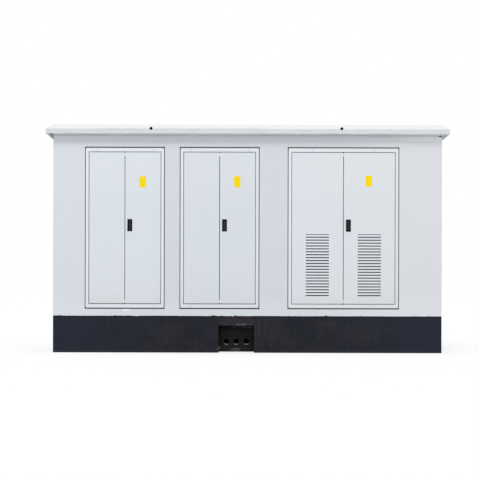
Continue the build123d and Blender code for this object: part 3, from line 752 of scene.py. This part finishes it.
def fixing_tree(recessed):
    """A tree that sets a screw or rivet head on every point, each facing out of the front wall."""
    tree = bpy.data.node_groups.new("screw_heads" if recessed else "rivet_heads", "GeometryNodeTree")
    face = tree.interface
    face.new_socket("Heads", in_out="OUTPUT", socket_type="NodeSocketGeometry")
    face.new_socket("Points", in_out="INPUT", socket_type="NodeSocketGeometry")
    for name in ("Head Width", "Head Height", "Recess Width"):
        face.new_socket(name, in_out="INPUT", socket_type="NodeSocketFloat").subtype = "DISTANCE"
    face.new_socket("Turn Seed", in_out="INPUT", socket_type="NodeSocketInt")
    face.new_socket("Finish", in_out="INPUT", socket_type="NodeSocketMaterial")
    build = Tree(tree)
    inputs = build.node("NodeGroupInput").outputs

    def triple(x, y, z):
        return build.node("ShaderNodeCombineXYZ", {}, {0: x, 1: y, 2: z}).outputs[0]

    radius, height = build.math("MULTIPLY", inputs["Head Width"], 0.5), inputs["Head Height"]
    if recessed:
        # A pan head: a low drum with a domed top, and a cross cut into it.
        sockets = {"Vertices": 20, "Radius": radius, "Depth": height}
        drum = build.node("GeometryNodeMeshCylinder", {"fill_type": "NGON"}, sockets).outputs
        lift = build.math("MULTIPLY", height, 0.35)
        sockets = {"Mesh": drum["Mesh"], "Selection": drum["Top"]}
        sockets |= {"Offset Scale": lift, "Individual": False}
        dome = build.node("GeometryNodeExtrudeMesh", {"mode": "FACES"}, sockets).outputs
        sockets = {"Geometry": dome["Mesh"], "Selection": dome["Top"], "Scale": 0.72}
        head = build.node("GeometryNodeScaleElements", {"domain": "FACE"}, sockets)
        wide = inputs["Recess Width"]
        slim = build.math("MULTIPLY", wide, 0.24)
        rise = triple(0.0, 0.0, build.math("MULTIPLY", height, 0.75))
        for sizes in ((wide, slim, height), (slim, wide, height)):
            bar = build.node("GeometryNodeMeshCube", {}, {"Size": triple(*sizes)})
            bar = build.node("GeometryNodeTransform", {}, {"Geometry": bar.outputs[0], "Translation": rise})
            settings = {"operation": "DIFFERENCE", "solver": "EXACT"}
            sockets = {"Mesh 1": head.outputs[0], "Mesh 2": bar.outputs[0]}
            head = build.node("GeometryNodeMeshBoolean", settings, sockets)
    else:
        ball = build.node("GeometryNodeMeshUVSphere", {}, {"Segments": 16, "Rings": 10, "Radius": radius})
        flat = triple(1.0, 1.0, build.math("DIVIDE", height, radius))
        head = build.node("GeometryNodeTransform", {}, {"Geometry": ball.outputs[0], "Scale": flat})
    sockets = {2: 0.0, 3: math.pi, "Seed": inputs["Turn Seed"]}
    turn = build.node("FunctionNodeRandomValue", {"data_type": "FLOAT"}, sockets).outputs[1]
    rotation = triple(math.pi / 2, turn, 0.0)
    sockets = {"Points": inputs["Points"], "Instance": head.outputs[0], "Rotation": rotation}
    heads = build.node("GeometryNodeInstanceOnPoints", {}, sockets)
    real = build.node("GeometryNodeRealizeInstances", {}, {0: heads.outputs[0]})
    sockets = {"Geometry": real.outputs[0], "Material": inputs["Finish"]}
    coated = build.node("GeometryNodeSetMaterial", {}, sockets)
    build.node("NodeGroupOutput", {}, {"Heads": coated.outputs[0]})
    return tree


def fixings(name, points, tree, values, body):
    """Bakes a tree's heads on the given points into one plain mesh that rides on a body."""
    carrier_mesh = bpy.data.meshes.new(name)
    carrier_mesh.from_pydata(points, [], [])
    carrier = add_object(f"{name}_points", carrier_mesh)
    modifier = carrier.modifiers.new("Heads", "NODES")
    modifier.node_group = tree
    for socket in tree.interface.items_tree:
        if socket.in_out == "INPUT" and socket.name in values:
            modifier[socket.identifier] = values[socket.name]
    evaluated = carrier.evaluated_get(bpy.context.evaluated_depsgraph_get())
    mesh = bpy.data.meshes.new_from_object(evaluated)
    carrier.modifiers.remove(modifier)
    bpy.data.objects.remove(carrier)
    if not mesh.polygons:
        raise RuntimeError(f"{name} came out empty")
    mesh.name = name
    return place_piece(name, mesh, body)


def rounded_outline(width, height, radius, steps=5):
    """The points round a rounded rectangle centred on 0, anticlockwise as seen from the front."""
    points = []
    corners = ((1, 1, 0), (-1, 1, 90), (-1, -1, 180), (1, -1, 270))
    for across, up, start in corners:
        for step in range(steps + 1):
            turn = math.radians(start + 90 * step / steps)
            x = across * (width / 2 - radius) + radius * math.cos(turn)
            z = up * (height / 2 - radius) + radius * math.sin(turn)
            points.append((x, z))
    return points


def closed_shape(name, rings, material, capped=True):
    """A closed mesh through rings of points: a face on both ends where capped, a loop where not."""
    shape = bmesh.new()
    loops = [[shape.verts.new(point) for point in ring] for ring in rings]
    for first, second in zip(loops, loops[1:] if capped else loops[1:] + loops[:1]):
        for index, vertex in enumerate(first):
            following = (index + 1) % len(first)
            shape.faces.new((vertex, first[following], second[following], second[index]))
    if capped:
        shape.faces.new(reversed(loops[0]))
        shape.faces.new(loops[-1])
    bmesh.ops.recalc_face_normals(shape, faces=shape.faces)
    mesh = bpy.data.meshes.new(name)
    shape.to_mesh(mesh)
    shape.free()
    mesh.materials.append(material)
    return mesh


def pressed_plate(name, centre, plates, material):
    """A thin plate with rounded corners, softened edges and a shallow pressed border."""
    thick, pressed, least_corner = plates.thickness, plates.thickness * 0.62, 0.0006
    # Each step from the back edge to the middle of the face: how far in, and how high.
    profile = (
        (0.0, 0.0),
        (0.0, thick * 0.7),
        (thick * 0.3, thick),
        (0.0050, thick),
        (0.0056, pressed),
        (0.0066, pressed),
        (0.0072, thick),
    )
    rings = []
    for inset, rise in profile:
        corner = max(plates.corner - inset, least_corner)
        outline = rounded_outline(plates.width - 2 * inset, plates.height - 2 * inset, corner)
        rings.append([(centre.x + x, centre.y - rise, centre.z + z) for x, z in outline])
    return closed_shape(name, rings, material)


def sealant_bead(name, low, high, joint, material):
    """A hollow-faced bead that fills the groove between a door frame and the concrete round it."""
    side, end, top, bed = joint.side_width, joint.end_width, joint.bead_depth, joint.groove_depth
    lip, hollow = top - 0.002, top + 0.001
    # Each step runs from the concrete to the frame: the share of the groove's width, and the depth.
    section = ((0.0, bed), (0.0, lip), (0.25, top), (0.5, hollow), (0.75, top), (1.0, lip), (1.0, bed))
    rings = []
    for x, z, inward, upward in (
        (low.x, low.z, side, end),
        (high.x, low.z, -side, end),
        (high.x, high.z, -side, -end),
        (low.x, high.z, side, -end),
    ):
        rings.append([(x + share * inward, FRONT + depth, z + share * upward) for share, depth in section])
    return closed_shape(name, rings, material, capped=False)


def seam_cap(name, left, right, low, high, material):
    """A small block with softened edges that closes the end of the seam between two leaves."""
    soft, face, back = CAP_EDGE, FRONT + CAP_FACE, FRONT + CAP_BACK
    rings = []
    for y, inset in ((back, 0.0), (face + soft, 0.0), (face + soft * 0.3, soft * 0.4), (face, soft)):
        near, bottom, top = left + inset, low + inset, high - inset
        rings.append([(near, y, bottom), (right, y, bottom), (right, y, top), (near, y, top)])
    return closed_shape(name, rings, material)


class SUBSTATION_OT_walls(bpy.types.Operator):
    """Paint the housing's walls"""

    bl_idname = "substation.walls"
    bl_label = "Paint walls"

    def execute(self, context):
        settings = context.scene.substation
        dress("wall_concrete", wall_finish(settings.wall, settings.plinth))
        return {"FINISHED"}


class SUBSTATION_OT_plinth(bpy.types.Operator):
    """Coat the basin that shows as a dark plinth, and its cable niche"""

    bl_idname = "substation.plinth"
    bl_label = "Coat plinth"

    def execute(self, context):
        settings = context.scene.substation
        dress("basin_concrete", plinth_finish(settings.wall, settings.plinth))
        dress("basin_concrete", niche_finish(settings.plinth), only="niche")
        return {"FINISHED"}


class SUBSTATION_OT_roof(bpy.types.Operator):
    """Paint the roof slab and finish the seal under it"""

    bl_idname = "substation.roof"
    bl_label = "Paint roof"

    def execute(self, context):
        settings = context.scene.substation
        dress("roof_concrete", roof_finish(settings.roof))
        dress("roof_seal", seal_finish(settings.fittings))
        return {"FINISHED"}


class SUBSTATION_OT_doors(bpy.types.Operator):
    """Coat the door leaves, their frames and the louvres"""

    bl_idname = "substation.doors"
    bl_label = "Coat doors"

    def execute(self, context):
        doors = context.scene.substation.doors
        dress("door_metal", coated_metal("leaf_coat", doors.leaf, doors))
        frames = coated_metal("frame_coat", doors.frame, doors, 0.7, doors.recess_shade_depth, 0.25, True)
        dress("door_metal", frames, only="_frame")
        dress("vent_metal", coated_metal("louvre_coat", doors.vent, doors, 1.3, doors.recess_shade_depth))
        return {"FINISHED"}


class SUBSTATION_OT_fittings(bpy.types.Operator):
    """Finish handles, locks, ducts, lifting sleeves and bare slabs"""

    bl_idname = "substation.fittings"
    bl_label = "Finish fittings"

    def execute(self, context):
        settings = context.scene.substation
        fittings = settings.fittings
        # The lever's lighter colour is a painted highlight on the same black plastic as the dish.
        dress("handle_plastic", handle_finish("dish_plastic", fittings.dish, 0.06))
        dress("handle_plastic", handle_finish("lever_plastic", fittings.lever, 0.25), only="lever")
        dress("duct_plastic", duct_finish(fittings))
        dress("sleeve_steel", sleeve_finish(fittings, tuple(settings.roof.paint)))
        dress("lock_steel", galvanised_finish("lock_zinc", tuple(fittings.steel), 0.4))
        dress("bare_concrete", bare_concrete_finish(fittings))
        return {"FINISHED"}


class SUBSTATION_OT_joints(bpy.types.Operator):
    """Fill the grooves round the door frames and cap the ends of the doors' seams"""

    bl_idname = "substation.joints"
    bl_label = "Fill joints"

    def execute(self, context):
        settings = context.scene.substation
        joint = settings.joints
        sealant = sealant_finish(settings.fittings)
        coat = coated_metal("seam_cap_coat", settings.doors.frame, settings.doors)
        for door in DOORS:
            name = f"{door}_frame_sealant"
            mesh = sealant_bead(name, *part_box(f"{door}_frame"), joint, sealant)
            place_piece(name, mesh, "housing")
            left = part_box(f"{door}_left_leaf")[1].x + joint.cap_clearance
            low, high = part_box(f"{door}_right_leaf")
            foot, head = low.z + joint.cap_inset, high.z - joint.cap_inset
            ends = {"lower": (foot, foot + joint.cap_length), "upper": (head - joint.cap_length, head)}
            for end, span in ends.items():
                name = f"{door}_seam_cap_{end}"
                place_piece(name, seam_cap(name, left, low.x, *span, coat), f"{door}_right")
        return {"FINISHED"}


class SUBSTATION_OT_screws(bpy.types.Operator):
    """Set the screws that hold the door frames"""

    bl_idname = "substation.screws"
    bl_label = "Set frame screws"

    def execute(self, context):
        screws = context.scene.substation.screws
        points = []
        for door in DOORS:
            low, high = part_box(f"{door}_frame")
            spacing = screws.wide_spacing if high.x - low.x > WIDE_FRAME else screws.narrow_spacing
            for side in (-0.5, 0.5):
                for z in (low.z + screws.bar_inset, high.z - screws.bar_inset):
                    points.append(((low.x + high.x) / 2 + side * spacing, FRONT, z))
        values = {
            "Head Width": screws.head_width,
            "Head Height": screws.head_height,
            "Recess Width": screws.recess_width,
            "Turn Seed": screws.seed,
            "Finish": galvanised_finish("screw_zinc", tuple(screws.metal), 0.45),
        }
        fixings("frame_screws", points, fixing_tree(True), values, "housing")
        return {"FINISHED"}


class SUBSTATION_OT_plates(bpy.types.Operator):
    """Fix a bare yellow plate to each right-hand door leaf"""

    bl_idname = "substation.plates"
    bl_label = "Fix plates"

    def execute(self, context):
        plates = context.scene.substation.plates
        enamel = enamel_finish(plates)
        tree = fixing_tree(False)
        values = {"Head Width": plates.rivet_width, "Head Height": RIVET_HEIGHT, "Turn Seed": 1}
        values["Finish"] = galvanised_finish("plate_rivet_metal", tuple(plates.rivet), 0.35)
        for door in DOORS:
            low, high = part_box(f"{door}_right_leaf")
            across, up = PLATE_SLIPS[door]
            centre = Vector(((low.x + high.x) / 2 + across, FRONT, plates.centre_height + up))
            mesh = pressed_plate(f"{door}_plate", centre, plates, enamel)
            place_piece(f"{door}_plate", mesh, f"{door}_right")
            reach_x, reach_z = plates.width / 2 - RIVET_INSET, plates.height / 2 - RIVET_INSET
            signs = ((-1, -1), (-1, 1), (1, -1), (1, 1))
            face = FRONT - plates.thickness
            points = [(centre.x + x * reach_x, face, centre.z + z * reach_z) for x, z in signs]
            fixings(f"{door}_plate_rivets", points, tree, values, f"{door}_right")
        return {"FINISHED"}


def seen_directly(tree):
    """1 where a surface is seen straight, in a mirror or through glass, 0 for the light it gives."""
    path = tree.node("ShaderNodeLightPath").outputs
    return largest(Level(tree, path[f"Is {kind} Ray"]) for kind in ("Camera", "Glossy", "Transmission"))


def blend(tree, share, first, second):
    """Two shaders mixed by a share."""
    return tree.node("ShaderNodeMixShader", {}, {0: share, 1: first.outputs[0], 2: second.outputs[0]})


def floor_finish(studio):
    """A matt floor that looks white but keeps the shadow, and throws back the light of a grey one."""
    material = bpy.data.materials.new("studio_floor")
    material.use_nodes = True
    tree = Tree(material.node_tree)
    bounce = tree.node("ShaderNodeBsdfDiffuse", {}, {"Color": (studio.floor_bounce,) * 3})
    pale = tree.node("ShaderNodeBsdfDiffuse", {}, {"Color": (0.95, 0.95, 0.95)})
    white = tree.node("ShaderNodeEmission", {}, {"Color": WHITE, "Strength": 1.0})
    shown = blend(tree, studio.floor_shadow, white, pale)
    mixed = blend(tree, seen_directly(tree), bounce, shown)
    tree.node("ShaderNodeOutputMaterial", {}, {"Surface": mixed.outputs[0]})
    return material


def even_world(studio):
    """Even fill light, with a white background."""
    world = bpy.data.worlds.new("studio_world")
    world.use_nodes = True
    tree = Tree(world.node_tree)
    fill = tree.node("ShaderNodeBackground", {}, {"Color": WHITE, "Strength": studio.sky_strength})
    white = tree.node("ShaderNodeBackground", {}, {"Color": WHITE, "Strength": 1.0})
    mixed = blend(tree, seen_directly(tree), fill, white)
    tree.node("ShaderNodeOutputWorld", {}, {"Surface": mixed.outputs[0]})
    return world


class SUBSTATION_OT_studio(bpy.types.Operator):
    """Lay the floor, light the substation and set up the camera"""

    bl_idname = "substation.studio"
    bl_label = "Set up studio"

    def execute(self, context):
        studio = context.scene.substation.studio
        scene = context.scene
        scene.view_settings.view_transform = "Standard"
        scene.world = even_world(studio)

        half = studio.floor_size / 2
        mesh = bpy.data.meshes.new("studio_floor")
        corners = [(-half, -half, 0), (half, -half, 0), (half, half, 0), (-half, half, 0)]
        mesh.from_pydata(corners, [], [(0, 1, 2, 3)])
        mesh.materials.append(floor_finish(studio))
        floor = add_object("studio_floor", mesh)

        key = bpy.data.lights.new("key_light", "SUN")
        key.energy = studio.sun_strength
        key.angle = studio.sun_softness
        lamp = add_object("key_light", key)
        level, side = math.cos(studio.sun_height), studio.sun_side
        toward = Vector((-math.sin(side) * level, -math.cos(side) * level, math.sin(studio.sun_height)))
        lamp.rotation_euler = toward.to_track_quat("Z", "Y").to_euler()

        lens = bpy.data.cameras.new("front_camera")
        lens.sensor_fit = "HORIZONTAL"
        lens.sensor_width = SENSOR_WIDTH
        lens.lens = FOCAL_SHARE * SENSOR_WIDTH
        lens.shift_x = SHIFT_RIGHT / IMAGE_WIDTH
        lens.shift_y = SHIFT_UP / IMAGE_WIDTH
        lens.clip_end = 500.0
        camera = add_object("front_camera", lens)
        camera.location = (0.0, FRONT - studio.camera_distance, studio.camera_height)
        camera.rotation_euler = (math.pi / 2, -studio.camera_roll, 0.0)
        scene.camera = camera
        return {"FINISHED"}


OPERATORS = (
    (SUBSTATION_OT_walls, "wall"),
    (SUBSTATION_OT_plinth, "plinth"),
    (SUBSTATION_OT_roof, "roof"),
    (SUBSTATION_OT_doors, "doors"),
    (SUBSTATION_OT_fittings, "fittings"),
    (SUBSTATION_OT_joints, "joints"),
    (SUBSTATION_OT_screws, "screws"),
    (SUBSTATION_OT_plates, "plates"),
    (SUBSTATION_OT_studio, "studio"),
)


class SUBSTATION_PT_panel(bpy.types.Panel):
    """Sizes, colours and steps of the substation"""

    bl_label = "Compact substation"
    bl_idname = "SUBSTATION_PT_panel"
    bl_space_type = "VIEW_3D"
    bl_region_type = "UI"
    bl_category = "Substation"

    def draw(self, context):
        for step, name in OPERATORS:
            box = self.layout.box()
            group = getattr(context.scene.substation, name)
            for setting in SETTINGS[name].__annotations__:
                box.prop(group, setting)
            box.operator(step.bl_idname)


CLASSES = (*SETTINGS.values(), SubstationSettings, *(step for step, _ in OPERATORS), SUBSTATION_PT_panel)


def register():
    for each in CLASSES:
        bpy.utils.register_class(each)
    bpy.types.Scene.substation = PointerProperty(type=SubstationSettings)


def unregister():
    del bpy.types.Scene.substation
    for each in reversed(CLASSES):
        bpy.utils.unregister_class(each)


def main():
    register()
    bpy.ops.substation.walls()
    bpy.ops.substation.plinth()
    bpy.ops.substation.roof()
    bpy.ops.substation.doors()
    bpy.ops.substation.fittings()
    bpy.ops.substation.joints()
    bpy.ops.substation.screws()
    bpy.ops.substation.plates()
    bpy.ops.substation.studio()


if __name__ == "__main__":
    main()
